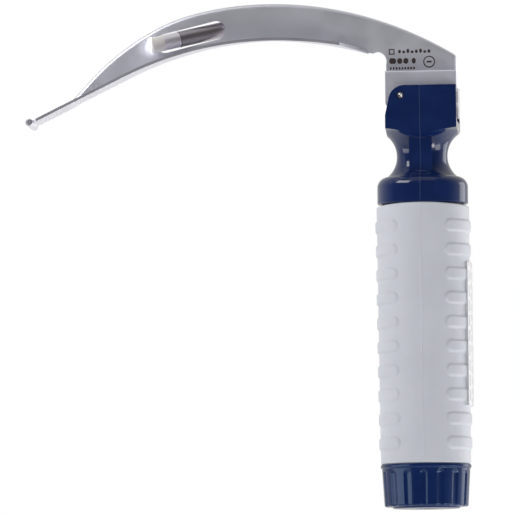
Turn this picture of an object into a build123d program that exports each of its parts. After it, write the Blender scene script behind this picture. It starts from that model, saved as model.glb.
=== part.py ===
from build123d import *

import os
from math import asin, atan, cos, pi, radians, sin, sqrt, tan

# Disposable laryngoscope with a size 3 curved blade, opened at a right angle.
# Millimetres. The origin is the centre of the base cap's underside, +Z runs up the handle,
# the blade reaches out along -X, and -Y is the side that the spatula spreads to.

# ---- Handle ----
CAP_H = 13.5
CAP_R_TOP = 13.66
CAP_R_FOOT = 12.9
CAP_STEP_R = 10.4
CAP_STEP_H = 0.55
CAP_WALL = 2.6
CAP_FLOOR = 2.6
CAP_STEM_H = 8.0
CAP_BAND_H = 2.0
CAP_LIP_R = 14.0
CAP_LIP_H = 1.0
FLUTES = 16
FLUTE_R = 1.5
FLUTE_DEPTH = 0.42
FLUTE_FOOT_Z = 1.6

GRIP_R_TOP = 14.3
GRIP_R_FOOT = 13.85
GRIP_TOP_Z = 93.7
GRIP_ARCH = 0.65
BUMPS = 10
BUMP_TOP_Z = 86.7
BUMP_PITCH = 7.43
BUMP_H = 4.0
BUMP_PROUD = 0.5
BUMP_SPAN = 108.0
BUMP_ROOT = 0.6
LABEL_Z = (31.4, 75.6)
LABEL_SPAN = 46.0
LABEL_THICK = 0.18

TUBE_R = 12.6
TUBE_BORE = 11.5
TUBE_TOP_Z = 93.7

# ---- Head ----
COLLAR_R = 14.0
COLLAR_SIDE_Z = 99.2
COLLAR_TOP_Z = 102.3
NECK_R = 7.82
NECK_ARC_R = 8.2
NECK_Z = 108.7
FLARE_Z = 116.3
HEAD_X = (-10.7, 11.25)
HEAD_Y = 10.8
HEAD_TOP_Z = 130.0
SLOT_HALF = 6.55
SLOT_FLOOR_Z = 119.0
PIN_X = -5.94
PIN_Z = 126.95
PIN_R = 1.1
PIN_BORE_R = 1.16
PIN_RECESS = 0.5
RIB_HALF = 3.5
RIB_FRONT_Y = 9.5
RIB_Z = (103.4, 114.4)
SPIGOT_LOW_Z = 85.0
SPIGOT_R = TUBE_BORE - 0.02

# ---- Contacts in the head ----
PLUNGER_R = 1.6
PLUNGER_HEAD_R = 2.1
PLUNGER_TOP_Z = 120.95
BUSH_R = 2.9
ROD_R = 1.3
ROD_TOP_Z = 106.0
STRIP_X = -5.2
STRIP_W = 4.0
STRIP_T = 0.4
STRIP_LOW_Z = 87.0

# ---- Heel block ----
BLOCK_LEFT_X = -10.8
BLOCK_RIGHT_X = 11.1
BLOCK_HALF = 6.2
BLOCK_TOP_Z = 134.8
BLOCK_LOW_Z = 121.6
HEEL_PLATE_DEPTH = 6.0
CONTACT_R = 2.2
BALL_R = 1.5
BALL_X = 6.5
BALL_Z = 125.5
BALL_PROUD = 0.75
BALL_GAP = 0.08
SPRING_SEAT = 1.34

# ---- Blade ----
SHEET = 1.4
WEB_NEAR_Y = 0.1
WEB_FAR_Y = WEB_NEAR_Y + SHEET
SPATULA_NEAR_Y = -12.4
SPATULA_T = 0.9
TIP_FAR_Y = 4.2
TIP_STEP_X = -109.0
TIP_X = -119.9
CREST_X = -45.5
CREST_Z = 145.25
SPATULA_R_TIP = 105.0
SPATULA_R_HEEL = 120.0
SPATULA_SLOPE = 25.9
SPATULA_HEEL_X = -15.0
WEB_TOE_X = -109.9
FLANGE_FAR_Y = 8.0
FOLD_R = 1.2
BEAD_R = 1.2
FAR_LIFT = 1.3
TIP_LIFT = 0.4

# ---- Lamp ----
LAMP_R = 2.45
LAMP_TILT = 13.7
LAMP_YAW = 18.0
LAMP_SEAM = (-74.8, -0.434, 146.307)
SOCKET_LEN = 17.08
LAMP_BODY_LEN = 5.3
LENS_LEN = 4.3
SLOT_R = 2.95
SLOT_HEEL = 11.6
SLOT_FRONT = 4.6
LEAD_R = 1.0

# ---- Battery pack: three AAA cells ----
CELL_R = 5.25
CELL_BODY_L = 43.3
CELL_NUB_R = 1.9
CELL_NUB_L = 1.2
CELL_RING_R = 6.12
PACK_LOW_Z = 30.0
PACK_DISC_T = 1.6
PACK_DISC_R = 11.2
LINK_T = 0.5
LINK_W = 2.6


def save(node, shape):
    """Write one named piece."""
    export_step(shape, f"parts/{node}.step")


def tube(r_out, r_in, z_low, z_high):
    """Round tube along Z."""
    height = z_high - z_low
    body = Cylinder(r_out, height) - Cylinder(r_in, height)
    return Pos(0, 0, (z_low + z_high) / 2) * body


def rod(r, z_low, z_high, x=0.0, y=0.0):
    """Round bar along Z."""
    return Pos(x, y, (z_low + z_high) / 2) * Cylinder(r, z_high - z_low)


def block(x, y, z):
    """Box between the given (low, high) pairs."""
    size = (x[1] - x[0], y[1] - y[0], z[1] - z[0])
    return Pos(sum(x) / 2, sum(y) / 2, sum(z) / 2) * Box(*size)


def bar_y(r, y_low, y_high, x, z):
    """Round bar along Y."""
    centre = Pos(x, (y_low + y_high) / 2, z)
    return centre * Rot(90, 0, 0) * Cylinder(r, y_high - y_low)


def turned(points):
    """Solid of revolution about Z from (radius, z) points."""
    outline = Polyline(*[(r, 0, z) for r, z in points], close=True)
    return revolve(make_face(outline), Axis.Z)


def across(edges, y_low, y_high):
    """Extrude a closed outline, drawn in XZ at y = 0, from y_low to y_high."""
    face = make_face(edges)
    return Pos(0, y_low, 0) * extrude(face, y_high - y_low, dir=(0, 1, 0))


def coil(r, wire_r, z_low, z_high, turns):
    """Compression spring along Z with its wire centred on radius r."""
    height = z_high - z_low - 2 * wire_r
    path = Helix(height / turns, height, r)
    start = Plane(path @ 0, z_dir=path % 0)
    spring = sweep(start * Circle(wire_r), path=path, is_frenet=True)
    return Pos(0, 0, z_low + wire_r) * spring


# ======================= handle =======================


def base_cap():
    """Fluted screw cap with a hollow stem that fits the battery tube."""
    rim = 0.5
    shell = turned([
        (0, 0),
        (CAP_STEP_R, 0),
        (CAP_STEP_R, CAP_STEP_H),
        (CAP_R_FOOT - rim, CAP_STEP_H),
        (CAP_R_FOOT, CAP_STEP_H + rim),
        (CAP_R_TOP, CAP_H - CAP_LIP_H - 0.3),
        (CAP_LIP_R, CAP_H - CAP_LIP_H),
        (CAP_LIP_R, CAP_H - 0.4),
        (CAP_LIP_R - 0.6, CAP_H),
        (TUBE_BORE - 0.06, CAP_H),
        (TUBE_BORE - 0.06, CAP_H + CAP_STEM_H - 0.5),
        (TUBE_BORE - 0.6, CAP_H + CAP_STEM_H),
        (CAP_R_FOOT - CAP_WALL, CAP_H + CAP_STEM_H),
        (CAP_R_FOOT - CAP_WALL, CAP_FLOOR),
        (0, CAP_FLOOR),
    ])
    flute_top = CAP_H - CAP_BAND_H
    reach = FLUTE_R - FLUTE_DEPTH
    tilt = (CAP_R_TOP - CAP_R_FOOT) / CAP_H
    length = flute_top - FLUTE_FOOT_Z
    middle = (flute_top + FLUTE_FOOT_Z) / 2
    groove = Pos(0, 0, middle) * Rot(0, atan(tilt) * 180 / pi, 0) * Cylinder(FLUTE_R, length)
    for i in range(FLUTES):
        turn = Rot(0, 0, 360 / FLUTES * i)
        shell -= turn * Pos(CAP_R_FOOT + tilt * middle + reach, 0, 0) * groove
    return shell


def grip_bump(z):
    """One finger ridge, a curved bar that bulges from the sleeve, centred on +X."""
    bar_r = ((BUMP_H / 2) ** 2 + BUMP_PROUD ** 2) / (2 * BUMP_PROUD)
    radius = GRIP_R_FOOT + (GRIP_R_TOP - GRIP_R_FOOT) * (z - CAP_H) / (GRIP_TOP_Z - CAP_H)
    ring = radius + BUMP_PROUD - bar_r
    root = radius - BUMP_ROOT
    reach = sqrt(bar_r ** 2 - (root - ring) ** 2)
    low = (root, 0, z - reach)
    high = (root, 0, z + reach)
    outline = make_face([ThreePointArc(low, (ring + bar_r, 0, z), high), Line(high, low)])
    return Rot(0, 0, -BUMP_SPAN / 2) * revolve(outline, Axis.Z, BUMP_SPAN)


def grip_sleeve():
    """Pale sleeve with ten ridges down each side and an arched top edge."""
    body = turned([
        (TUBE_R, CAP_H),
        (GRIP_R_FOOT - 0.4, CAP_H),
        (GRIP_R_FOOT, CAP_H + 0.4),
        (GRIP_R_TOP, GRIP_TOP_Z - 0.6),
        (GRIP_R_TOP - 0.6, GRIP_TOP_Z),
        (TUBE_R, GRIP_TOP_Z),
    ])
    arch_r = GRIP_R_TOP ** 2 / (2 * GRIP_ARCH)
    body = body & bar_y(arch_r, -20, 20, 0, GRIP_TOP_Z - arch_r)
    for i in range(BUMPS):
        ridge = grip_bump(BUMP_TOP_Z - i * BUMP_PITCH)
        body += ridge
        body += Rot(0, 0, 180) * ridge
    return body


def grip_label():
    """Thin printed strip bridging the ridge crests on the right side."""
    radius = GRIP_R_TOP + BUMP_PROUD + 0.02
    strip = tube(radius + LABEL_THICK, radius, *LABEL_Z)
    half_w = radius * sin(radians(LABEL_SPAN / 2))
    return strip & block((0, 20), (-half_w, half_w), LABEL_Z)


def battery_tube():
    """Dark metal tube that the cells sit in and the head and cap plug into."""
    return tube(TUBE_R, TUBE_BORE, CAP_H, TUBE_TOP_Z)


# ======================= head =======================


def head_blank():
    """Collar with a rounded shoulder, waisted neck and flare, trimmed square round the clevis."""
    arc_x = NECK_R + NECK_ARC_R
    low_x = arc_x - sqrt(NECK_ARC_R ** 2 - (NECK_Z - COLLAR_TOP_Z) ** 2)
    high_x = arc_x - sqrt(NECK_ARC_R ** 2 - (FLARE_Z - NECK_Z) ** 2)
    waist = ThreePointArc((low_x, 0, COLLAR_TOP_Z), (NECK_R, 0, NECK_Z), (high_x, 0, FLARE_Z))
    shoulder = ThreePointArc(
        (COLLAR_R, 0, COLLAR_SIDE_Z),
        (COLLAR_R - 0.85, 0, COLLAR_SIDE_Z + 2.0),
        (low_x, 0, COLLAR_TOP_Z),
    )
    outside = Polyline(
        (high_x, 0, FLARE_Z),
        (17, 0, FLARE_Z + 0.9),
        (17, 0, HEAD_TOP_Z),
        (0, 0, HEAD_TOP_Z),
        (0, 0, SPIGOT_LOW_Z),
        (SPIGOT_R - 0.8, 0, SPIGOT_LOW_Z),
        (SPIGOT_R, 0, SPIGOT_LOW_Z + 0.8),
        (SPIGOT_R, 0, TUBE_TOP_Z),
        (COLLAR_R - 0.4, 0, TUBE_TOP_Z),
        (COLLAR_R, 0, TUBE_TOP_Z + 0.4),
        (COLLAR_R, 0, COLLAR_SIDE_Z),
    )
    solid = revolve(make_face(outside + waist + shoulder), Axis.Z)
    square = block(HEAD_X, (-HEAD_Y, HEAD_Y), (NECK_Z, HEAD_TOP_Z))
    lower = block((-20, 20), (-20, 20), (SPIGOT_LOW_Z, NECK_Z))
    return (solid & square) + (solid & lower)


def cheek_outline():
    """Side view of the clevis: rounded upper corner over the pin and a slanted front edge."""
    top = (-4.6, 0, HEAD_TOP_Z)
    mid = (-8.35, 0, 128.4)
    low = (-9.65, 0, 125.5)
    round_corner = ThreePointArc(top, mid, low)
    left, right = HEAD_X
    rest = Polyline(low, (left, 0, 120.8), (left, 0, 100), (right, 0, 100), (right, 0, HEAD_TOP_Z), top)
    return round_corner + rest


def neck_rib():
    """Flat-faced rib down the middle of the neck, front and rear."""
    return block((-RIB_HALF, RIB_HALF), (-RIB_FRONT_Y, RIB_FRONT_Y), RIB_Z)


def contact_holes():
    """Room in the head for the plunger, its bush, the centre rod and the return strip."""
    holes = rod(BUSH_R, ROD_TOP_Z + 0.5, SLOT_FLOOR_Z + 1)
    holes += rod(ROD_R, SPIGOT_LOW_Z - 1, ROD_TOP_Z + 1)
    holes += rod(2.2, SPIGOT_LOW_Z - 1, SPIGOT_LOW_Z + 1.5)
    return holes + return_strip()


def yoke_head():
    """Blue moulded head: collar, neck and the two cheeks of the clevis."""
    head = head_blank()
    upper = block((-20, 20), (-20, 20), (NECK_Z, HEAD_TOP_Z + 1))
    shaped = across(cheek_outline(), -HEAD_Y - 1, HEAD_Y + 1)
    head = (head - upper) + (head & upper & shaped) + neck_rib()
    head -= block((-20, 20), (-SLOT_HALF, SLOT_HALF), (SLOT_FLOOR_Z, HEAD_TOP_Z + 1))
    head -= bar_y(PIN_R, -20, 20, PIN_X, PIN_Z)
    recess_y = HEAD_Y - PIN_RECESS
    for side in (-1, 1):
        low, high = sorted((side * HEAD_Y, side * recess_y))
        head -= bar_y(PIN_R + 0.25, low, high, PIN_X, PIN_Z)
        head -= ball_track(side)
    return head - contact_holes()


def ball_track(side):
    """Lead-in groove for a detent ball on a cheek's inner face, ending in its seat."""
    dx = BALL_X - PIN_X
    dz = BALL_Z - PIN_Z
    reach = sqrt(dx ** 2 + dz ** 2)
    groove_r = BALL_R + BALL_GAP
    y = side * (BLOCK_HALF + BALL_PROUD - BALL_R)
    axis = Axis((PIN_X, 0, PIN_Z), (0, -1, 0))
    seat = Pos(BALL_X, y, BALL_Z)
    along = Plane(origin=(BALL_X, y, BALL_Z), x_dir=(0, 1, 0), z_dir=(dz / reach, 0, -dx / reach))
    track = revolve(along * Circle(groove_r), axis, 40)
    return track + seat * Sphere(groove_r)


def hinge_pin():
    """Plain steel pin, dimpled at both ends, pressed into the cheeks."""
    half = HEAD_Y - 0.25
    pin = bar_y(PIN_R, -half, half, PIN_X, PIN_Z)
    pin = chamfer(pin.edges(), 0.22)
    for side in (-1, 1):
        pin -= Pos(PIN_X, side * (half + 0.35), PIN_Z) * Sphere(0.75)
    return pin


def contact_plunger():
    """Spring contact that rises from the floor of the clevis."""
    return turned([
        (0, ROD_TOP_Z + 8.0),
        (PLUNGER_HEAD_R, ROD_TOP_Z + 8.0),
        (PLUNGER_HEAD_R, ROD_TOP_Z + 10.0),
        (PLUNGER_R, ROD_TOP_Z + 10.0),
        (PLUNGER_R, PLUNGER_TOP_Z - 0.6),
        (PLUNGER_R - 0.6, PLUNGER_TOP_Z),
        (0, PLUNGER_TOP_Z),
    ])


def plunger_bush():
    """Insulating sleeve with a lip that keeps the plunger in."""
    return turned([
        (PLUNGER_HEAD_R + 0.06, ROD_TOP_Z + 0.5),
        (BUSH_R, ROD_TOP_Z + 0.5),
        (BUSH_R, SLOT_FLOOR_Z),
        (PLUNGER_R + 0.06, SLOT_FLOOR_Z),
        (PLUNGER_R + 0.06, ROD_TOP_Z + 11.6),
        (PLUNGER_HEAD_R + 0.06, ROD_TOP_Z + 11.6),
    ])


def centre_conductor():
    """Brass rod from the battery pack to the plunger's spring."""
    head_low = SPIGOT_LOW_Z
    return turned([
        (0, head_low),
        (2.2, head_low),
        (2.2, head_low + 1.5),
        (ROD_R, head_low + 1.5),
        (ROD_R, ROD_TOP_Z + 0.5),
        (PLUNGER_HEAD_R - 0.1, ROD_TOP_Z + 0.5),
        (PLUNGER_HEAD_R - 0.1, ROD_TOP_Z + 1.1),
        (0, ROD_TOP_Z + 1.1),
    ])


def return_strip():
    """Bent strip from the wall of the battery tube up to the heel block."""
    y = (-STRIP_W / 2, STRIP_W / 2)
    upright = block((STRIP_X - STRIP_T / 2, STRIP_X + STRIP_T / 2), y, (STRIP_LOW_Z, SLOT_FLOOR_Z + 2.2))
    foot = block((-TUBE_BORE - 1, STRIP_X), y, (STRIP_LOW_Z, STRIP_LOW_Z + STRIP_T))
    strip = upright + foot
    return strip & rod(TUBE_BORE, STRIP_LOW_Z - 1, SLOT_FLOOR_Z + 3)


# ======================= blade =======================


def spatula_line(side, shift_z):
    """Side view of the spatula, tip to heel: a straight run and two arcs that meet at the crest.

    side is 0 at the near edge and 1 at the far edge, which stands a little higher.
    """
    lift = side * FAR_LIFT
    tip_lift = side * TIP_LIFT
    slope = radians(SPATULA_SLOPE)
    heel = asin((SPATULA_HEEL_X - CREST_X) / SPATULA_R_HEEL)

    def on_arc(radius, angle, raised):
        x = CREST_X + radius * sin(angle)
        z = CREST_Z - radius * (1 - cos(angle))
        return (x, 0, z + shift_z + raised)

    knee = on_arc(SPATULA_R_TIP, -slope, tip_lift)
    crest = on_arc(SPATULA_R_TIP, 0, lift)
    tip = (TIP_X, 0, knee[2] - (knee[0] - TIP_X) * tan(slope))
    run = Line(tip, knee)
    rise = ThreePointArc(knee, on_arc(SPATULA_R_TIP, -slope / 2, (lift + tip_lift) / 2), crest)
    half_way = on_arc(SPATULA_R_HEEL, heel / 2, lift / 2)
    fall = ThreePointArc(crest, half_way, on_arc(SPATULA_R_HEEL, heel, 0))
    return run, rise, fall


def spatula_section(side):
    """Closed side outline of the spatula sheet."""
    top = spatula_line(side, 0)
    low = spatula_line(side, -SPATULA_T)
    ends = [Line(top[0] @ 0, low[0] @ 0), Line(top[2] @ 1, low[2] @ 1)]
    return make_face(list(top) + list(low) + ends)


def spatula():
    """Spatula sheet, a little higher along its far side and trimmed to its plan outline."""
    near = Pos(0, SPATULA_NEAR_Y, 0) * spatula_section(0)
    far = Pos(0, TIP_FAR_Y, 0) * spatula_section(1)
    sheet = loft([near, far], ruled=True)
    heel_near = -24.4
    heel_web = -16.2
    plan = Polyline(
        (TIP_X, SPATULA_NEAR_Y + 1.0),
        (TIP_X + 1.5, SPATULA_NEAR_Y),
        (heel_near, SPATULA_NEAR_Y),
        (heel_web, WEB_NEAR_Y),
        (heel_web, WEB_FAR_Y),
        (TIP_STEP_X + 4, WEB_FAR_Y),
        (TIP_STEP_X, TIP_FAR_Y),
        (TIP_X + 1.5, TIP_FAR_Y),
        (TIP_X, TIP_FAR_Y - 1.0),
        close=True,
    )
    keep = Pos(0, 0, 100) * extrude(make_face(plan), 60, dir=(0, 0, 1))
    return sheet & keep


def blade_crown(drop):
    """Upper edge of the web from near the tip to the corner of the heel, lowered by drop."""
    crown = [
        (-110.2, 126.2),
        (-104.7, 132.15),
        (-97.8, 139.05),
        (-87.8, 146.5),
        (-77.8, 151.8),
        (-66.0, 155.2),
        (CREST_X, 156.95),
        (-23.3, 154.2),
        (-3.6, 147.6),
        (10.0, 140.5),
    ]
    return Spline(*[(x, 0, z - drop) for x, z in crown])


def web_outline():
    """Side view of the web and heel plate."""
    crown = blade_crown(0)
    run, rise, fall = spatula_line(0.8, -SPATULA_T / 2)
    along = (WEB_TOE_X - TIP_X) / ((run @ 1).X - TIP_X)
    start = crown @ 0
    end = crown @ 1
    heel_x = BLOCK_RIGHT_X - 0.1
    foot_z = BLOCK_TOP_Z - HEEL_PLATE_DEPTH
    neck = (BLOCK_LEFT_X, 0, 137.4)
    corner = (-13.4, 0, 141.4)
    nose = ThreePointArc(end, (heel_x - 0.25, 0, end.Z - 0.8), (heel_x, 0, end.Z - 1.8))
    rest = Polyline((heel_x, 0, end.Z - 1.8), (heel_x, 0, foot_z), (BLOCK_LEFT_X, 0, foot_z), neck)
    inner = ThreePointArc(neck, (-11.6, 0, 140.5), corner)
    bridge = Line(corner, fall @ 1)
    toe = Line(run @ along, run @ 1)
    return [crown, nose, rest, inner, bridge, fall, rise, toe, Line(start, run @ along)]


def flange():
    """Edge of the web turned away from the spatula, deepest past the lamp and fading to both ends."""
    crown = blade_crown(0)
    under = blade_crown(SHEET)
    outline = [crown, under, Line(crown @ 0, under @ 0), Line(crown @ 1, under @ 1)]
    band = across(outline, WEB_NEAR_Y, FLANGE_FAR_Y + 1)
    toe = (-110, WEB_FAR_Y)
    end = (10, WEB_FAR_Y)
    edge = Spline(toe, (-98, 4.0), (-80, 6.8), (-55, FLANGE_FAR_Y), (-20, 6.6), (3, 3.2), end)
    back = Polyline(end, (10, WEB_NEAR_Y), (-110, WEB_NEAR_Y), toe)
    plan = make_face([edge, back])
    return band & (Pos(0, 0, 100) * extrude(plan, 70, dir=(0, 0, 1)))


def lamp_place():
    """Frame at the lamp's seam: its local +Z runs along the barrel towards the tip."""
    tilt = radians(LAMP_TILT)
    yaw = radians(LAMP_YAW)
    forward = (-cos(tilt) * cos(yaw), -sin(yaw), -sin(tilt) * cos(yaw))
    return Plane(origin=LAMP_SEAM, x_dir=(sin(tilt), 0, -cos(tilt)), z_dir=forward)


def lamp_slot():
    """Rounded window in the web that the barrel passes through."""
    tilt = radians(LAMP_TILT)
    x, _, z = LAMP_SEAM
    heel = (x + SLOT_HEEL * cos(tilt), z + SLOT_HEEL * sin(tilt))
    front = (x - SLOT_FRONT * cos(tilt), z - SLOT_FRONT * sin(tilt))
    window = bar_y(SLOT_R, -1, 3, *heel) + bar_y(SLOT_R, -1, 3, *front)
    middle = Pos((heel[0] + front[0]) / 2, 1, (heel[1] + front[1]) / 2) * Rot(0, -LAMP_TILT, 0)
    return window + middle * Box(SLOT_HEEL + SLOT_FRONT, 4, 2 * SLOT_R)


def blade_sheet():
    """Pressed stainless blade: spatula, web, turned-over flange, heel plate and the rolled tip."""
    sheet = across(web_outline(), WEB_NEAR_Y, WEB_FAR_Y) + flange()
    fold = [edge for edge in sheet.edges() if edge.length > 100 and edge.center().Y < WEB_NEAR_Y + 0.01]
    sheet = fillet(fold, FOLD_R) + spatula()
    tip_z = spatula_section(0).bounding_box().min.Z
    bead = bar_y(BEAD_R, SPATULA_NEAR_Y, TIP_FAR_Y, TIP_X - 0.7, tip_z + 0.4)
    bead = fillet(bead.edges().filter_by(GeomType.CIRCLE), 0.5)
    return sheet + bead - lamp_slot()


def heel_block():
    """Steel block of the heel, rounded about the pin, slotted for the heel plate."""
    low_r = PIN_Z - BLOCK_LOW_Z
    left = BLOCK_LEFT_X - PIN_X
    drop = sqrt(low_r ** 2 - left ** 2)
    swing = ThreePointArc(
        (BLOCK_LEFT_X, 0, PIN_Z - drop),
        (PIN_X - low_r * sin(radians(28)), 0, PIN_Z - low_r * cos(radians(28))),
        (PIN_X, 0, BLOCK_LOW_Z),
    )
    rest = Polyline(
        (PIN_X, 0, BLOCK_LOW_Z),
        (BLOCK_RIGHT_X - 0.8, 0, BLOCK_LOW_Z),
        (BLOCK_RIGHT_X, 0, BLOCK_LOW_Z + 0.8),
        (BLOCK_RIGHT_X, 0, BLOCK_TOP_Z),
        (BLOCK_LEFT_X, 0, BLOCK_TOP_Z),
        (BLOCK_LEFT_X, 0, PIN_Z - drop),
    )
    body = across(swing + rest, -BLOCK_HALF, BLOCK_HALF)
    body = chamfer(body.edges().filter_by(Axis.X).group_by(Axis.Z)[-1], 0.3)
    body -= across(web_outline(), WEB_NEAR_Y, WEB_FAR_Y)
    body -= bar_y(PIN_BORE_R, -10, 10, PIN_X, PIN_Z)
    body -= bar_y(BALL_R + 0.05, -10, 10, BALL_X, BALL_Z)
    body -= rod(CONTACT_R + 0.9, BLOCK_LOW_Z - 1, BLOCK_LOW_Z + 3.0)
    return body - lead_path(LEAD_R)


def heel_contact_bush():
    """Insulating cup round the heel contact."""
    cup = rod(CONTACT_R + 0.9, BLOCK_LOW_Z, BLOCK_LOW_Z + 3.0)
    return cup - rod(CONTACT_R, BLOCK_LOW_Z - 1, BLOCK_LOW_Z + 2.4)


def heel_contact():
    """Brass button that meets the plunger."""
    return rod(CONTACT_R, BLOCK_LOW_Z - 0.25, BLOCK_LOW_Z + 2.4)


def heel_label():
    """Thin printed strip on the heel block's rear face."""
    return block((BLOCK_RIGHT_X, BLOCK_RIGHT_X + 0.5), (-4.5, 4.5), (120.4, 129.2))


def lead_path(r):
    """Lamp lead tube: up out of the block and along the far side of the web to the socket."""
    place = lamp_place()
    tail = place.from_local_coords((0, 0, -SOCKET_LEN))
    y = WEB_FAR_Y + LEAD_R + 0.05
    start = (-4, y, BLOCK_LOW_Z + 6)
    points = [start, (-4, y, 136.0), (-14, y, 146.9), (-30, y, 150.5), (-46, y, 151.9), tail]
    route = FilletPolyline(*points, radius=6)
    end_face = Plane(origin=route @ 0, z_dir=route % 0) * Circle(r)
    return sweep(end_face, path=route)


def build_lamp():
    """Socket, front body, frosted lens and the light source, along the lamp's own axis."""
    place = lamp_place()
    socket = Pos(0, 0, -SOCKET_LEN / 2) * Cylinder(LAMP_R, SOCKET_LEN)
    body = Pos(0, 0, LAMP_BODY_LEN / 2) * Cylinder(LAMP_R - 0.06, LAMP_BODY_LEN)
    body -= Pos(0, 0, LAMP_BODY_LEN - 0.5) * Cylinder(1.2, 1.0)
    lens = Pos(0, 0, LAMP_BODY_LEN + LENS_LEN / 2) * Cylinder(LAMP_R - 0.02, LENS_LEN)
    lens = fillet(lens.edges().group_by(Axis.Z)[-1], 0.7)
    lens -= Pos(0, 0, LAMP_BODY_LEN + 0.5) * Cylinder(1.2, 1.0)
    emitter = Pos(0, 0, LAMP_BODY_LEN - 0.2) * Cylinder(1.15, 1.5)
    return {
        "lamp_socket": place * socket,
        "lamp_body": place * body,
        "lamp_lens": place * lens,
        "lamp_emitter": place * emitter,
    }


def detent_parts():
    """Two balls pushed apart by one spring in a cross bore of the heel block."""
    ball_y = BLOCK_HALF + BALL_PROUD - BALL_R
    parts = {}
    for name, side in (("front", -1), ("rear", 1)):
        parts[f"detent_ball_{name}"] = Pos(BALL_X, side * ball_y, BALL_Z) * Sphere(BALL_R)
    half = ball_y - SPRING_SEAT
    spring = coil(1.05, 0.22, -half, half, 7)
    parts["detent_spring"] = Pos(BALL_X, 0, BALL_Z) * Rot(90, 0, 0) * spring
    return parts


# ======================= battery pack =======================


def cell_places():
    """Axes of the three cells, with +1 where the button end is up."""
    places = []
    for i, up in enumerate((1, -1, 1)):
        angle = radians(90 + 120 * i)
        places.append((CELL_RING_R * cos(angle), CELL_RING_R * sin(angle), up))
    return places


def cell(x, y, up):
    """One AAA cell between the pack's end contacts."""
    low = PACK_LOW_Z + PACK_DISC_T + LINK_T
    full = CELL_BODY_L + CELL_NUB_L
    if up > 0:
        body = rod(CELL_R, low, low + CELL_BODY_L, x, y)
        return body + rod(CELL_NUB_R, low + CELL_BODY_L, low + full, x, y)
    body = rod(CELL_R, low + CELL_NUB_L, low + full, x, y)
    return body + rod(CELL_NUB_R, low, low + CELL_NUB_L, x, y)


def pack_top():
    """Height of the underside of the pack's upper disc."""
    return PACK_LOW_Z + PACK_DISC_T + 2 * LINK_T + CELL_BODY_L + CELL_NUB_L


def cartridge_frame():
    """Two end discs joined by three posts that stand between the cells."""
    top = pack_top()
    frame = rod(PACK_DISC_R, PACK_LOW_Z, PACK_LOW_Z + PACK_DISC_T)
    frame += rod(PACK_DISC_R, top, top + PACK_DISC_T)
    posts = rod(PACK_DISC_R, PACK_LOW_Z, top + PACK_DISC_T)
    for x, y, _ in cell_places():
        posts -= rod(CELL_R + 0.12, PACK_LOW_Z + PACK_DISC_T, top, x, y)
    for i in range(3):
        angle = 30 + 120 * i
        wedge = Rot(0, 0, angle) * block((6.5, 12), (-4.5, 4.5), (PACK_LOW_Z, top + PACK_DISC_T))
        frame += posts & wedge
    frame -= rod(1.5, PACK_LOW_Z - 1, PACK_LOW_Z + PACK_DISC_T + 1)
    return frame - rod(1.5, top - 1, top + PACK_DISC_T + 1)


def strip_between(start, end, z, spare):
    """Flat strip from one (x, y) point to another, run on by spare at both ends."""
    gap = Vector(*end) - Vector(*start)
    middle = (Vector(*end) + Vector(*start)) / 2
    place = Plane(origin=(middle.X, middle.Y, z + LINK_T / 2), x_dir=gap, z_dir=(0, 0, 1))
    return place * Box(gap.length + 2 * spare, LINK_W, LINK_T)


def cartridge_links():
    """End strips that put the three cells in series."""
    a, b, c = [place[:2] for place in cell_places()]
    upper = strip_between(a, b, pack_top() - LINK_T, LINK_W / 2)
    lower = strip_between(b, c, PACK_LOW_Z + PACK_DISC_T, LINK_W / 2)
    return Compound(children=[upper, lower])


def top_terminal():
    """Arm over the last cell and a rivet up through the pack's upper disc."""
    c = cell_places()[2][:2]
    z = pack_top()
    arm = strip_between((0, 0), c, z - LINK_T, LINK_W / 2)
    shank = rod(1.3, z - LINK_T, z + PACK_DISC_T)
    return arm + shank + rod(2.4, z + PACK_DISC_T, SPIGOT_LOW_Z)


def bottom_terminal():
    """Arm under the first cell and a wide rivet head for the base spring."""
    a = cell_places()[0][:2]
    z = PACK_LOW_Z + PACK_DISC_T
    arm = strip_between((0, 0), a, z, LINK_W / 2)
    shank = rod(1.3, PACK_LOW_Z, z + LINK_T)
    return arm + shank + rod(5.6, PACK_LOW_Z - 0.6, PACK_LOW_Z)


def cap_contact_plate():
    """Metal cup lining the cap; its lip wipes the wall of the battery tube."""
    sleeve_r = CAP_R_FOOT - CAP_WALL - 0.06
    top = CAP_H + CAP_STEM_H
    return turned([
        (0, CAP_FLOOR),
        (sleeve_r, CAP_FLOOR),
        (sleeve_r, top),
        (TUBE_BORE - 0.06, top),
        (TUBE_BORE - 0.06, top + 0.4),
        (sleeve_r - 0.35, top + 0.4),
        (sleeve_r - 0.35, CAP_FLOOR + 0.5),
        (0, CAP_FLOOR + 0.5),
    ])


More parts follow.
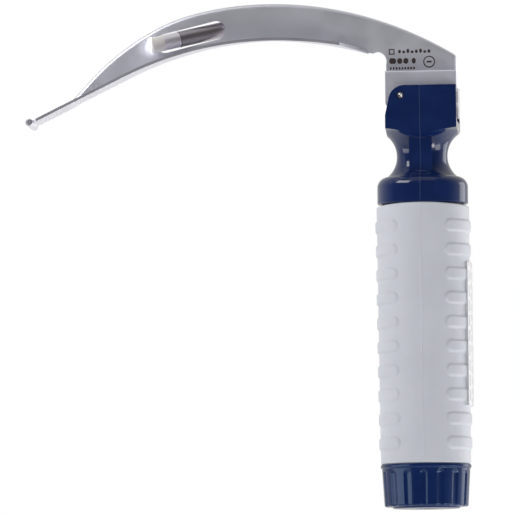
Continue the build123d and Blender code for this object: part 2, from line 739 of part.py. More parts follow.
def write_parts():
    """Build every piece and write it under its node's name."""
    os.makedirs("parts", exist_ok=True)
    lamp_pieces = build_lamp()
    pieces = {
        "base_cap": base_cap(),
        "cap_contact_plate": cap_contact_plate(),
        "base_spring": coil(4.6, 0.45, CAP_FLOOR + 0.5, PACK_LOW_Z - 0.6, 6),
        "grip_sleeve": grip_sleeve(),
        "grip_label": grip_label(),
        "battery_tube": battery_tube(),
        "yoke_head": yoke_head(),
        "hinge_pin": hinge_pin(),
        "contact_plunger": contact_plunger(),
        "plunger_spring": coil(1.55, 0.2, ROD_TOP_Z + 1.1, ROD_TOP_Z + 8.0, 6),
        "plunger_bush": plunger_bush(),
        "centre_conductor": centre_conductor(),
        "return_strip": return_strip(),
        "blade_sheet": blade_sheet(),
        "heel_block": heel_block(),
        "heel_contact": heel_contact(),
        "heel_contact_bush": heel_contact_bush(),
        "heel_label": heel_label(),
        "lamp_lead_tube": lead_path(LEAD_R) - lamp_pieces["lamp_socket"],
        "cartridge_frame": cartridge_frame(),
        "cartridge_links": cartridge_links(),
        "top_terminal": top_terminal(),
        "bottom_terminal": bottom_terminal(),
    }
    pieces.update(lamp_pieces)
    pieces.update(detent_parts())
    for i, place in enumerate(cell_places()):
        pieces[f"battery_{i + 1}"] = cell(*place)
    for node, shape in pieces.items():
        save(node, shape)


write_parts()
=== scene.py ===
from math import asin, atan2, cos, hypot, pi, radians, sin

import bmesh
import bpy
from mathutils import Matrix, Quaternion, Vector


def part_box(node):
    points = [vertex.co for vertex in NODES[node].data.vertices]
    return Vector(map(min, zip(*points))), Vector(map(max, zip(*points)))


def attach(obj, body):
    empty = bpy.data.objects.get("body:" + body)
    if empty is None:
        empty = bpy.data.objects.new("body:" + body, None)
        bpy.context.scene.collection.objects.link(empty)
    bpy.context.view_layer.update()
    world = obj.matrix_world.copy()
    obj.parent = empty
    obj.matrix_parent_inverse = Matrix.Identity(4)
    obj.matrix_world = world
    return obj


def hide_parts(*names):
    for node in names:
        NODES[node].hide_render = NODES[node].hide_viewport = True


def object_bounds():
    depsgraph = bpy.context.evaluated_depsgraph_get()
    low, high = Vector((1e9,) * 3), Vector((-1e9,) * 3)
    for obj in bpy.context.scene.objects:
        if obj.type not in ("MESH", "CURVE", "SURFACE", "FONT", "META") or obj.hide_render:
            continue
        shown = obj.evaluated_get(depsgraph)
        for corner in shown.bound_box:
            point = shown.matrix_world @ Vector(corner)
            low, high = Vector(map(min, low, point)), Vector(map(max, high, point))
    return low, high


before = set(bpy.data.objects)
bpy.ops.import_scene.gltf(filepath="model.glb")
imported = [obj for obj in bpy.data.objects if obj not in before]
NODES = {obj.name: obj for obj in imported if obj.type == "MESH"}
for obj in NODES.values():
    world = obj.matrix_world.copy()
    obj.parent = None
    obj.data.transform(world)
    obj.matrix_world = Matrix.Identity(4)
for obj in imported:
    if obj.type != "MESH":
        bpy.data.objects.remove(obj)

MM = 0.001
CAD_LOW, CAD_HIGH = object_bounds()

# ---- Camera and light ----
CAMERA_DISTANCE = 2.5
CAMERA_AZIMUTH = radians(4.5)
CAMERA_ELEVATION = radians(-3.9)
CAMERA_ROLL = radians(0.64)
VIEW_WIDTH = 0.1591
SENSOR = 36.0
AIM_OFFSET = Vector((2.05, 0.0, -0.2)) * MM
FLOOR_DROP = 0.45

# ---- Grip sleeve ----
RIDGES = 10
RIDGE_PITCH = 7.43 * MM
RIDGE_TOP_GAP = 7.0 * MM
RIDGE_HALF_H = 2.1 * MM
RIDGE_EDGE = 0.36
RIDGE_SPAN = radians(60)
RIDGE_PROUD = 0.46 * MM
GRIP_WALL_R = 12.6 * MM
GRIP_TAPER = 0.45 * MM
GRIP_ARCH = 0.65 * MM
SEAM_HALF = 0.2 * MM
SEAM_PROUD = 0.13 * MM

# ---- Base cap ----
CAP_H = 13.5 * MM
CAP_LIP_H = 1.0 * MM
CAP_R_TOP = 13.66 * MM
CAP_R_FOOT = 12.9 * MM
FLUTES = 16
FLUTE_HALF_W = 1.15 * MM
FLUTE_DEPTH = 0.42 * MM
FLUTE_TOP = 11.6 * MM


# ---- Lamp ----
LAMP_BODY_HALF = 2.65 * MM


# ======================= node helpers =======================


class Shader:
    """A material under construction, with object coordinates in millimetres."""

    def __init__(self, name):
        self.material = bpy.data.materials.new(name)
        self.material.use_nodes = True
        self.tree = self.material.node_tree
        self.bsdf = next(n for n in self.tree.nodes if n.type == "BSDF_PRINCIPLED")
        coords = self.tree.nodes.new("ShaderNodeTexCoord")
        self.place = self.node("ShaderNodeVectorMath", operation="SCALE")
        self.link(coords.outputs["Object"], self.place.inputs[0])
        self.place.inputs["Scale"].default_value = 1.0 / MM
        self.height = None

    def node(self, kind, **settings):
        made = self.tree.nodes.new(kind)
        for key, value in settings.items():
            setattr(made, key, value)
        return made

    def link(self, source, target):
        self.tree.links.new(source, target)

    def set(self, **values):
        for key, value in values.items():
            self.bsdf.inputs[key.replace("_", " ")].default_value = value

    def stretched(self, scale):
        made = self.node("ShaderNodeVectorMath", operation="MULTIPLY")
        self.link(self.place.outputs[0], made.inputs[0])
        made.inputs[1].default_value = scale
        return made.outputs[0]

    def noise(self, scale, detail=4.0, rough=0.55, stretch=(1, 1, 1)):
        made = self.node("ShaderNodeTexNoise")
        self.link(self.stretched(stretch), made.inputs["Vector"])
        made.inputs["Scale"].default_value = scale
        made.inputs["Detail"].default_value = detail
        made.inputs["Roughness"].default_value = rough
        return made.outputs["Fac"]

    def math(self, operation, a, b=0.0, c=0.0):
        made = self.node("ShaderNodeMath", operation=operation)
        for socket, value in zip(made.inputs, (a, b, c)):
            if isinstance(value, (int, float)):
                socket.default_value = value
            else:
                self.link(value, socket)
        return made.outputs[0]

    def span(self, value, low, high, out_low, out_high):
        made = self.node("ShaderNodeMapRange", interpolation_type="SMOOTHSTEP")
        self.link(value, made.inputs["Value"])
        for key, number in zip(("From Min", "From Max", "To Min", "To Max"), (low, high, out_low, out_high)):
            made.inputs[key].default_value = number
        return made.outputs["Result"]

    def mix(self, factor, first, second):
        made = self.node("ShaderNodeMix", data_type="RGBA")
        self.link(factor, made.inputs["Factor"])
        for socket, value in ((made.inputs["A"], first), (made.inputs["B"], second)):
            if isinstance(value, tuple):
                socket.default_value = (*value, 1.0)
            else:
                self.link(value, socket)
        return made.outputs["Result"]

    def axis(self, index):
        made = self.node("ShaderNodeSeparateXYZ")
        self.link(self.place.outputs[0], made.inputs[0])
        return made.outputs[index]

    def bump(self, height, depth_mm, strength=1.0):
        made = self.node("ShaderNodeBump")
        made.inputs["Strength"].default_value = strength
        made.inputs["Distance"].default_value = depth_mm * MM
        self.link(height, made.inputs["Height"])
        if self.height is not None:
            self.link(self.height, made.inputs["Normal"])
        self.height = made.outputs["Normal"]
        self.link(self.height, self.bsdf.inputs["Normal"])

    def colour(self, source):
        self.link(source, self.bsdf.inputs["Base Color"])

    def roughness(self, source):
        self.link(source, self.bsdf.inputs["Roughness"])


# ======================= materials =======================


def steel(name, light, dark, rough_low, rough_high, stretch=(0.12, 1.0, 1.0), grain=6.0, shaded_edge_y=None):
    """Satin stainless steel with a fine drawn grain, faint stains, soft handling marks and, when an edge position is
    given, painted shade along the sheet's near edge.
    """
    s = Shader(name)
    s.set(Metallic=1.0)
    streaks = s.noise(grain, 6.0, 0.65, stretch)
    clouds = s.noise(0.09, 3.0, 0.5)
    tone = s.math("MULTIPLY_ADD", streaks, 0.35, s.math("MULTIPLY", clouds, 0.65))
    s.colour(s.mix(s.span(tone, 0.3, 0.7, 0.0, 1.0), dark, light))
    s.roughness(s.span(s.math("ADD", streaks, clouds), 0.7, 1.3, rough_low, rough_high))
    s.bump(streaks, 0.002, 0.4)
    s.bump(s.noise(0.12, 2.0, 0.4), 0.02, 0.3)
    if shaded_edge_y is not None:
        # Painted shade: the nearest 0.16 mm of the sheet along y, its near edge face, is mixed towards dark grey.
        edge = s.span(s.axis(1), shaded_edge_y + 0.04, shaded_edge_y + 0.16, 0.75, 0.0)
        s.colour(s.mix(edge, s.mix(s.span(tone, 0.3, 0.7, 0.0, 1.0), dark, light), (0.38, 0.37, 0.42)))
    return s.material


def gloss_blue(name, seam, rough, tint, shine=0.5):
    """Deep blue glossy moulding: slight flow waviness, dust-fine scuffs and, where seam is set, a raised parting line
    with a painted highlight along it.
    """
    s = Shader(name)
    s.set(IOR=1.5, Specular_IOR_Level=shine)
    flow = s.noise(0.12, 3.0, 0.5)
    blue = s.mix(s.span(flow, 0.3, 0.7, 0.0, 1.0), (0.0035, 0.015, 0.083), (0.005, 0.02, 0.1))
    s.colour(blue)
    scuffs = s.noise(3.2, 5.0, 0.7, (1.0, 1.0, 0.25))
    s.set(Specular_Tint=(*tint, 1.0))
    s.roughness(s.span(scuffs, 0.45, 0.75, rough, rough + 0.09))
    s.bump(s.noise(0.22, 2.0, 0.4), 0.05, 0.35)
    s.bump(s.noise(9.0, 3.0, 0.6), 0.003, 0.4)
    if seam:
        line = s.span(s.math("ABSOLUTE", s.axis(0)), 0.08, 0.2, 1.0, 0.0)
        s.bump(line, 0.12, 1.0)
        # Painted highlight: besides the raised bump, the parting line's colour is mixed towards a lighter blue.
        s.colour(s.mix(s.math("MULTIPLY", line, 0.35), blue, (0.05, 0.09, 0.22)))
    return s.material


def grip_plastic():
    """Pale bluish satin sleeve with a spark-eroded grain and faint darker flecks."""
    s = Shader("grip_plastic")
    s.set(IOR=1.48, Specular_IOR_Level=0.4)
    s.set(Subsurface_Weight=0.06, Subsurface_Scale=0.002)
    cloud = s.noise(0.06, 4.0, 0.55)
    fleck = s.noise(2.2, 3.0, 0.6)
    base = s.mix(s.span(cloud, 0.3, 0.7, 0.0, 1.0), (0.6, 0.62, 0.68), (0.64, 0.66, 0.72))
    s.colour(s.mix(s.span(fleck, 0.62, 0.8, 0.0, 0.12), base, (0.5, 0.51, 0.55)))
    s.roughness(s.span(fleck, 0.3, 0.7, 0.42, 0.56))
    s.bump(s.noise(7.0, 4.0, 0.6), 0.02, 0.5)
    s.bump(s.noise(1.6, 3.0, 0.5), 0.02, 0.25)
    return s.material


def brass():
    """Plain brass with darker spots."""
    s = Shader("brass_contact")
    s.set(Metallic=1.0)
    spots = s.noise(1.5, 4.0, 0.6)
    s.colour(s.mix(s.span(spots, 0.35, 0.7, 0.0, 1.0), (0.78, 0.58, 0.26), (0.5, 0.36, 0.15)))
    s.roughness(s.span(spots, 0.3, 0.7, 0.25, 0.42))
    s.bump(spots, 0.01, 0.3)
    return s.material


def moulded(name, light, dark, rough):
    """Plain moulded plastic with a fine grain."""
    s = Shader(name)
    grain = s.noise(4.0, 4.0, 0.6)
    s.colour(s.mix(s.span(grain, 0.3, 0.7, 0.0, 1.0), dark, light))
    s.roughness(s.span(grain, 0.3, 0.7, rough, rough + 0.12))
    s.bump(grain, 0.015, 0.4)
    return s.material


def dark_metal():
    """Dark brown-black anodised tube."""
    s = Shader("dark_tube")
    s.set(Metallic=0.7)
    rings = s.noise(2.0, 4.0, 0.6, (0.1, 0.1, 4.0))
    s.colour(s.mix(s.span(rings, 0.3, 0.7, 0.0, 1.0), (0.03, 0.024, 0.022), (0.07, 0.055, 0.05)))
    s.roughness(s.span(rings, 0.3, 0.7, 0.35, 0.5))
    s.bump(rings, 0.01, 0.4)
    return s.material


def label_film():
    """White printed film: rows of short grey dashes, no lettering."""
    s = Shader("label_film")
    dashes = s.node("ShaderNodeTexBrick", offset=0.37, squash=0.7)
    turned = s.node("ShaderNodeCombineXYZ")
    s.link(s.axis(2), turned.inputs[0])
    s.link(s.axis(1), turned.inputs[1])
    s.link(turned.outputs[0], dashes.inputs["Vector"])
    dashes.inputs["Color1"].default_value = (0.0, 0.0, 0.0, 1.0)
    dashes.inputs["Color2"].default_value = (0.25, 0.25, 0.25, 1.0)
    dashes.inputs["Mortar"].default_value = (1.0, 1.0, 1.0, 1.0)
    dashes.inputs["Scale"].default_value = 1.0
    dashes.inputs["Mortar Size"].default_value = 0.62
    dashes.inputs["Brick Width"].default_value = 4.6
    dashes.inputs["Row Height"].default_value = 1.9
    paper = s.noise(1.2, 3.0, 0.5)
    printed = s.span(dashes.outputs["Color"], 0.2, 0.8, 0.4, 0.0)
    sheet = s.mix(paper, (0.78, 0.78, 0.82), (0.86, 0.86, 0.88))
    s.colour(s.mix(printed, sheet, (0.12, 0.1, 0.16)))
    s.roughness(s.span(paper, 0.3, 0.7, 0.3, 0.4))
    s.bump(paper, 0.01, 0.3)
    return s.material


def lens_frost():
    """Frosted white lamp tip that glows most at its front end."""
    s = Shader("frosted_lens")
    s.set(Roughness=0.4)
    low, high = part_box("lamp_lens")
    front = low[0] / MM
    frost = s.noise(3.0, 4.0, 0.6)
    s.colour(s.mix(frost, (0.86, 0.82, 0.8), (0.93, 0.9, 0.88)))
    glow = s.span(s.axis(0), front + 0.5, front + 1.4, 8.0, 0.0)
    s.link(glow, s.bsdf.inputs["Emission Strength"])
    s.set(Emission_Color=(0.93, 0.93, 1.0, 1.0))
    s.bump(frost, 0.02, 0.3)
    s.material.cycles.emission_sampling = "NONE"
    return s.material


def emitter():
    """Lit source behind the lens."""
    s = Shader("emitter_lit")
    phosphor = s.noise(4.0, 2.0, 0.5)
    s.colour(s.mix(phosphor, (0.9, 0.9, 0.7), (1.0, 1.0, 0.85)))
    s.set(Emission_Color=(0.92, 0.94, 1.0, 1.0), Emission_Strength=6.0)
    s.material.cycles.emission_sampling = "NONE"
    return s.material


def cell_sleeve():
    """Plain battery sleeve in two tones."""
    s = Shader("cell_sleeve")
    band = s.span(s.axis(2), 62.0, 62.4, 0.0, 1.0)
    grain = s.noise(1.0, 3.0, 0.5)
    s.colour(s.mix(band, (0.05, 0.06, 0.08), (0.5, 0.42, 0.22)))
    s.roughness(s.span(grain, 0.3, 0.7, 0.25, 0.4))
    s.bump(grain, 0.01, 0.3)
    return s.material


def etched():
    """Brown-grey etched mark."""
    s = Shader("etched_mark")
    bite = s.noise(6.0, 4.0, 0.7)
    s.colour(s.mix(bite, (0.035, 0.024, 0.024), (0.09, 0.065, 0.065)))
    s.set(Metallic=0.4)
    s.roughness(s.span(bite, 0.3, 0.7, 0.5, 0.7))
    s.bump(bite, 0.01, 0.5)
    return s.material


def paint(material, *nodes):
    """Give CAD nodes a finished material."""
    for name in nodes:
        slots = NODES[name].data.materials
        if not slots:
            slots.append(material)
        for i in range(len(slots)):
            slots[i] = material


def soften(width_mm, *nodes, segments=2, angle=32):
    """Round a CAD node's edges with modifiers, leaving its own mesh as it is."""
    for name in nodes:
        thing = NODES[name]
        weld = thing.modifiers.new("weld", "WELD")
        weld.merge_threshold = 1e-6
        bevel = thing.modifiers.new("round_edges", "BEVEL")
        bevel.width = width_mm * MM
        bevel.segments = segments
        bevel.limit_method = "ANGLE"
        bevel.angle_limit = radians(angle)
        bevel.harden_normals = False
        normals = thing.modifiers.new("normals", "WEIGHTED_NORMAL")
        normals.keep_sharp = False
        normals.weight = 60


# ======================= meshes =======================


def mesh_object(name, bm, material, smooth=True):
    """Finish a bmesh as an object."""
    bmesh.ops.recalc_face_normals(bm, faces=bm.faces)
    data = bpy.data.meshes.new(name)
    bm.to_mesh(data)
    bm.free()
    for polygon in data.polygons:
        polygon.use_smooth = smooth
    data.materials.append(material)
    made = bpy.data.objects.new(name, data)
    bpy.context.scene.collection.objects.link(made)
    return made


def ring_shell(name, angles, profile, material):
    """Closed shell round Z: profile(angle) gives the (radius, z) points of one closed section."""
    bm = bmesh.new()
    columns = []
    for angle in angles:
        columns.append([bm.verts.new((r * cos(angle), r * sin(angle), z)) for r, z in profile(angle)])
    for i, column in enumerate(columns):
        beside = columns[(i + 1) % len(columns)]
        for j in range(len(column)):
            k = (j + 1) % len(column)
            bm.faces.new((column[j], beside[j], beside[k], column[k]))
    return mesh_object(name, bm, material)


def arc_gap(angle, centre):
    """Smallest angle between two directions."""
    return abs(atan2(sin(angle - centre), cos(angle - centre)))


def ridge_height(angle, z, radius, first_z):
    """How far a finger ridge stands out here: a bar with round ends on each side of the sleeve."""
    index = round((first_z - z) / RIDGE_PITCH)
    if index < 0 or index >= RIDGES:
        return 0.0
    across = abs(z - (first_z - index * RIDGE_PITCH))
    side = min(arc_gap(angle, 0.0), arc_gap(angle, pi))
    past_end = max(0.0, (side - RIDGE_SPAN) * radius + RIDGE_HALF_H)
    away = hypot(across, past_end) / RIDGE_HALF_H
    if away >= 1.0:
        return 0.0
    rise = min(1.0, (1.0 - away) / RIDGE_EDGE)
    return RIDGE_PROUD * rise * rise * (3.0 - 2.0 * rise)


def build_grip(material):
    """Ribbed sleeve with an arched top edge and a moulding line front and back."""
    low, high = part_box("grip_sleeve")
    top_r = high[1]
    z_low, z_high = low[2], high[2]
    first_z = z_high - RIDGE_TOP_GAP
    rows = 330
    angles = [2 * pi * i / 252 for i in range(252)]
    for centre in (pi / 2, -pi / 2):
        angles += [(centre + step * 0.09 * MM / top_r) % (2 * pi) for step in range(-6, 7) if step]
    angles = sorted(set(round(a, 6) for a in angles))

    def profile(angle):
        drop = GRIP_ARCH * cos(angle) ** 2
        seam = min(arc_gap(angle, pi / 2), arc_gap(angle, -pi / 2)) * top_r
        seam_up = SEAM_PROUD * max(0.0, 1.0 - (seam / SEAM_HALF) ** 2)
        points = [(GRIP_WALL_R, z_low)]
        for j in range(rows + 1):
            t = j / rows
            z = z_low + (z_high - z_low) * t
            radius = top_r - GRIP_TAPER * (1.0 - t)
            edge = min(z - z_low, z_high - z)
            edge_r = 0.55 * MM
            if edge < edge_r:
                radius -= edge_r - (edge_r ** 2 - (edge_r - edge) ** 2) ** 0.5
            radius += ridge_height(angle, z, top_r, first_z) + seam_up
            near_top = max(0.0, 1.0 - (z_high - z) / (5 * MM))
            points.append((radius, z - drop * near_top ** 1.2))
        points.append((GRIP_WALL_R, z_high - drop))
        return points

    grip = ring_shell("ribbed_grip", angles, profile, material)
    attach(grip, "handle")
    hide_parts("grip_sleeve")


def build_label(material):
    """Printed film with a soft backing that follows the sleeve between the ridges."""
    low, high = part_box("grip_label")
    outer = high[0]
    inner = outer - 1.2 * MM
    span = asin(high[1] / outer)
    bm = bmesh.new()
    columns = []
    steps = 14
    for i in range(steps + 1):
        angle = span * (2 * i / steps - 1)
        points = [(inner, low[2]), (outer, low[2]), (outer, high[2]), (inner, high[2])]
        columns.append([bm.verts.new((r * cos(angle), r * sin(angle), z)) for r, z in points])
    for first, second in zip(columns, columns[1:]):
        for j in range(4):
            k = (j + 1) % 4
            bm.faces.new((first[j], second[j], second[k], first[k]))
    bm.faces.new(columns[0])
    bm.faces.new(columns[-1])
    label = mesh_object("backed_label", bm, material, smooth=False)
    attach(label, "handle")
    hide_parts("grip_label")


def flute_depth(angle, z):
    """How far a cap flute is cut here: a groove with a rounded upper end."""
    pitch = 2 * pi / FLUTES
    off = abs(((angle / pitch + 0.5) % 1.0) - 0.5) * pitch
    across = off * 13.3 * MM
    above = max(0.0, z - (FLUTE_TOP - FLUTE_HALF_W))
    away = hypot(across, above) / FLUTE_HALF_W
    if away >= 1.0:
        return 0.0
    return FLUTE_DEPTH * (1.0 - away ** 2) ** 0.8


def build_cap(material):
    """Screw cap with rounded flutes, a stepped foot and a hollow stem."""
    low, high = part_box("base_cap")
    lip_r = high[0]
    stem_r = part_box("cap_contact_plate")[1][0]
    step_r = 10.4 * MM
    step_h = 0.55 * MM
    inner_r = 10.3 * MM
    floor_z = 2.6 * MM
    rows = 84
    per_flute = 26

    def profile(angle):
        points = [(0.02 * MM, low[2]), (step_r - 0.25 * MM, low[2]), (step_r, low[2] + 0.25 * MM)]
        points += [(step_r, step_h)]
        for j in range(rows + 1):
            t = j / rows
            z = step_h + (CAP_H - step_h) * t
            radius = CAP_R_FOOT + (CAP_R_TOP - CAP_R_FOOT) * t
            lip = min(1.0, max(0.0, (z - CAP_H + CAP_LIP_H + 0.35 * MM) / (0.35 * MM)))
            radius += (lip_r - CAP_R_TOP) * lip * lip * (3.0 - 2.0 * lip)
            rim = 0.5 * MM
            edge = min(z - step_h, CAP_H - z)
            if edge < rim:
                radius -= 0.6 * (rim - (rim ** 2 - (rim - edge) ** 2) ** 0.5)
            points.append((radius - flute_depth(angle, z), z))
        points += [(stem_r, CAP_H), (stem_r, high[2] - 0.5 * MM), (stem_r - 0.5 * MM, high[2])]
        points += [(inner_r, high[2]), (inner_r, floor_z), (0.02 * MM, floor_z)]
        return points

    angles = [2 * pi * i / (FLUTES * per_flute) for i in range(FLUTES * per_flute)]
    cap = ring_shell("fluted_cap", angles, profile, material)
    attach(cap, "cap")
    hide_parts("base_cap")


def build_lamp_ring(material):
    """Dark crimp ring where the lamp's front body meets its socket."""
    socket, body = [(Vector(low) + Vector(high)) / 2 for low, high in map(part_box, ("lamp_socket", "lamp_body"))]
    along = (body - socket).normalized()
    seam = body + (socket - body).normalized() * LAMP_BODY_HALF
    turn = along.to_track_quat("Z", "Y")
    bm = bmesh.new()
    section = [(2.3, -0.16), (2.5, -0.16), (2.56, 0.0), (2.5, 0.16), (2.3, 0.16)]
    columns = []
    for i in range(56):
        angle = 2 * pi * i / 56
        ring = [Vector((r * cos(angle), r * sin(angle), z)) * MM for r, z in section]
        columns.append([bm.verts.new(seam + turn @ point) for point in ring])
    for i, column in enumerate(columns):
        beside = columns[(i + 1) % 56]
        for j in range(len(section)):
            k = (j + 1) % len(section)
            bm.faces.new((column[j], beside[j], beside[k], column[k]))
    ring = mesh_object("lamp_crimp_ring", bm, material)
    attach(ring, "blade")


def bar_mark(bm, x, z, width, height, y):
    """One flat etched bar with clipped corners."""
    clip = height * 0.25
    outline = [
        (x, z + clip), (x + clip, z), (x + width - clip, z), (x + width, z + clip),
        (x + width, z + height - clip), (x + width - clip, z + height), (x + clip, z + height), (x, z + height - clip),
    ]
    bm.faces.new([bm.verts.new((px * MM, y, pz * MM)) for px, pz in outline])


def ring_mark(bm, x, z, radius, width, y, sides):
    """One flat etched ring."""
    inner = []
    outer = []
    for i in range(sides):
        angle = 2 * pi * i / sides + pi / 4
        for ring, r in ((inner, radius - width), (outer, radius)):
            ring.append(bm.verts.new(((x + r * cos(angle)) * MM, y, (z + r * sin(angle)) * MM)))
    for i in range(sides):
        k = (i + 1) % sides
        bm.faces.new((inner[i], inner[k], outer[k], outer[i]))


def build_marks():
    """Generic etched marks on the heel plate: rows of plain bars, a square ring and a round ring."""
    y = WEB_FACE_Y - 0.02 * MM
    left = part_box("heel_block")[0][0] / MM
    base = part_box("heel_block")[1][2] / MM
    bm = bmesh.new()
    ring_mark(bm, left + 1.75, base + 6.5, 1.25, 0.45, y, 4)
    for i, height in enumerate((1.1, 0.8, 1.4, 0.8, 1.1, 1.4, 0.8, 1.1)):
        bar_mark(bm, left + 3.75 + 1.3 * i, base + 6.0, 0.85, height, y)
    for i, width in enumerate((2.1, 1.5, 1.5, 1.2)):
        bar_mark(bm, left + 0.95 + (0.0, 2.5, 4.4, 7.0)[i], base + 2.75, width, 1.75, y)
    for i in range(9):
        bar_mark(bm, left + 1.1 + 0.9 * i, base + 0.95, 0.6, 0.8, y)
    ring_mark(bm, left + 13.3, base + 3.25, 1.85, 0.36, y, 40)
    bar_mark(bm, left + 12.5, base + 3.0, 1.6, 0.5, y)
    marks = mesh_object("etched_marks", bm, etched(), smooth=False)
    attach(marks, "blade")


# ======================= stage =======================


def build_world():
    """Even white surroundings for the camera, and a dimmer front half for reflections."""
    world = bpy.data.worlds.new("studio")
    bpy.context.scene.world = world
    world.use_nodes = True
    nodes = world.node_tree.nodes
    links = world.node_tree.links
    nodes.clear()
    coords = nodes.new("ShaderNodeTexCoord")
    split = nodes.new("ShaderNodeSeparateXYZ")
    links.new(coords.outputs["Generated"], split.inputs[0])
    depth = nodes.new("ShaderNodeMapRange")
    depth.interpolation_type = "SMOOTHSTEP"
    links.new(split.outputs[1], depth.inputs["Value"])
    for key, number in (("From Min", -0.4), ("From Max", 0.6), ("To Min", 0.1), ("To Max", 0.76)):
        depth.inputs[key].default_value = number
    tint = nodes.new("ShaderNodeMix")
    tint.data_type = "RGBA"
    tint.inputs["A"].default_value = (0.95, 0.96, 1.0, 1.0)
    tint.inputs["B"].default_value = (1.0, 0.975, 0.88, 1.0)
    links.new(depth.outputs["Result"], tint.inputs["Factor"])
    around = nodes.new("ShaderNodeBackground")
    links.new(tint.outputs["Result"], around.inputs["Color"])
    links.new(depth.outputs["Result"], around.inputs["Strength"])
    seen = nodes.new("ShaderNodeBackground")
    seen.inputs["Color"].default_value = (1.0, 1.0, 1.0, 1.0)
    path = nodes.new("ShaderNodeLightPath")
    mix = nodes.new("ShaderNodeMixShader")
    links.new(path.outputs["Is Camera Ray"], mix.inputs[0])
    links.new(around.outputs[0], mix.inputs[1])
    links.new(seen.outputs[0], mix.inputs[2])
    out = nodes.new("ShaderNodeOutputWorld")
    links.new(mix.outputs[0], out.inputs["Surface"])


def softbox(name, place, aim, size, power):
    """Rectangular soft light that looks at aim."""
    data = bpy.data.lights.new(name, "AREA")
    data.shape = "RECTANGLE"
    data.size, data.size_y = size
    data.energy = power
    light = bpy.data.objects.new(name, data)
    light.location = place
    light.rotation_mode = "QUATERNION"
    light.rotation_quaternion = (Vector(place) - Vector(aim)).to_track_quat("Z", "Y")
    bpy.context.scene.collection.objects.link(light)


def build_stage():
    """Pale floor well below the held object, glowing as painted bounce light that is brighter towards the back; soft
    lights and the camera.
    """
    bm = bmesh.new()
    bmesh.ops.create_grid(bm, x_segments=24, y_segments=24, size=2.5)
    s = Shader("pale_floor")
    mottle = s.noise(0.01, 3.0, 0.5)
    s.colour(s.mix(mottle, (0.86, 0.86, 0.86), (0.9, 0.9, 0.9)))
    s.set(Roughness=0.7, Emission_Color=(1.0, 1.0, 1.0, 1.0))
    # Painted light: the floor glows, more strongly towards the back, in place of light bounced up from below.
    s.link(s.span(s.axis(1), -100.0, 300.0, 0.12, 0.44), s.bsdf.inputs["Emission Strength"])
    floor = mesh_object("pale_floor", bm, s.material, smooth=False)
    floor.location.z = CAD_LOW[2] - FLOOR_DROP

    middle = (Vector(CAD_LOW) + Vector(CAD_HIGH)) / 2
    aim = Vector((middle.x, 0.0, middle.z)) + AIM_OFFSET
    softbox("key_light", (-0.74, -0.5, 0.8), aim, (0.66, 0.42), 5.8)
    softbox("left_card", (-1.0, -0.42, -0.08), aim, (1.1, 0.26), 2.6)
    softbox("low_right_lamp", (0.62, -0.5, -0.4), aim, (0.32, 0.32), 3.0)
    softbox("low_right_fill", (1.0, -0.2, -0.35), aim, (0.5, 0.5), 2.8)
    softbox("ceiling", (0.0, -0.35, 1.1), aim, (1.0, 0.8), 1.2)
    softbox("right_rear", (0.82, 0.6, 0.1), aim, (0.5, 0.8), 2.6)

    data = bpy.data.cameras.new("camera")
    data.sensor_width = SENSOR
    data.lens = SENSOR * CAMERA_DISTANCE / VIEW_WIDTH
    data.clip_end = 20.0
    camera = bpy.data.objects.new("camera", data)
    away = Vector((
        sin(CAMERA_AZIMUTH) * cos(CAMERA_ELEVATION),
        -cos(CAMERA_AZIMUTH) * cos(CAMERA_ELEVATION),
        sin(CAMERA_ELEVATION),
    ))
    camera.location = aim + away * CAMERA_DISTANCE
    camera.rotation_mode = "QUATERNION"
    camera.rotation_quaternion = away.to_track_quat("Z", "Y") @ Quaternion((0, 0, 1), -CAMERA_ROLL)
    bpy.context.scene.collection.objects.link(camera)
    bpy.context.scene.camera = camera
    bpy.context.scene.view_settings.view_transform = "Standard"


# ======================= assembly =======================

WEB_FACE_Y = 0.1 * MM
SHEARED_EDGE_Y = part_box("blade_sheet")[0][1] / MM

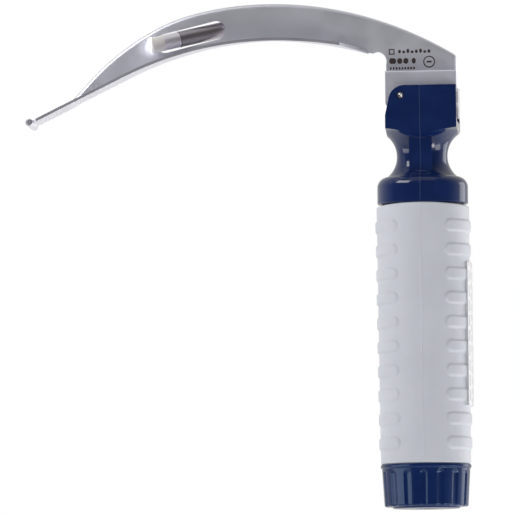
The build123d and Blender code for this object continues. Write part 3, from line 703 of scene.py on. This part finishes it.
BLADE_STEEL = steel("blade_steel", (0.79, 0.79, 0.86), (0.74, 0.74, 0.81), 0.46, 0.56, shaded_edge_y=SHEARED_EDGE_Y)
BLOCK_STEEL = steel("block_steel", (0.88, 0.88, 0.97), (0.83, 0.83, 0.92), 0.48, 0.58)
LAMP_STEEL = steel("lamp_steel", (0.47, 0.44, 0.46), (0.42, 0.39, 0.41), 0.38, 0.46, (0.15, 1, 1), 3.0)
BODY_STEEL = steel("lamp_body_steel", (0.9, 0.87, 0.91), (0.85, 0.82, 0.86), 0.5, 0.58, (0.15, 1, 1), 3.0)
WIRE_STEEL = steel("wire_steel", (0.6, 0.6, 0.62), (0.48, 0.48, 0.5), 0.25, 0.38, (1, 1, 1), 4.0)
PIN_STEEL = steel("pin_steel", (0.8, 0.8, 0.82), (0.68, 0.68, 0.7), 0.12, 0.2, (1, 1, 1), 5.0)
BRASS = brass()
LABEL = label_film()

paint(BLADE_STEEL, "blade_sheet")
paint(BLOCK_STEEL, "heel_block")
paint(LAMP_STEEL, "lamp_socket")
paint(BODY_STEEL, "lamp_body")
paint(WIRE_STEEL, "lamp_lead_tube", "detent_spring", "base_spring", "plunger_spring", "cartridge_links")
paint(PIN_STEEL, "hinge_pin", "detent_ball_front", "detent_ball_rear")
paint(BRASS, "heel_contact", "contact_plunger", "centre_conductor", "return_strip", "top_terminal",
      "bottom_terminal", "cap_contact_plate")
paint(gloss_blue("blue_moulding", True, 0.11, (1.0, 1.0, 1.0)), "yoke_head")
paint(dark_metal(), "battery_tube")
paint(LABEL, "heel_label")
paint(lens_frost(), "lamp_lens")
paint(emitter(), "lamp_emitter")
paint(moulded("white_insulator", (0.82, 0.82, 0.8), (0.72, 0.72, 0.7), 0.35), "plunger_bush", "heel_contact_bush")
paint(moulded("black_frame", (0.03, 0.03, 0.03), (0.015, 0.015, 0.015), 0.4), "cartridge_frame")
paint(cell_sleeve(), "battery_1", "battery_2", "battery_3")

soften(0.1, "blade_sheet", segments=2)
soften(0.3, "yoke_head", segments=3)
soften(0.3, "heel_block")
soften(0.12, "lamp_socket", "lamp_body", "lamp_lead_tube")
soften(0.08, "hinge_pin", "contact_plunger", "plunger_bush", "heel_contact", "battery_tube", "return_strip")

build_grip(grip_plastic())
build_label(LABEL)
build_cap(gloss_blue("blue_cap", False, 0.17, (0.6, 0.8, 1.0), 0.4))
build_lamp_ring(steel("crimp_steel", (0.3, 0.28, 0.29), (0.2, 0.19, 0.2), 0.3, 0.4))
build_marks()
build_world()
build_stage()
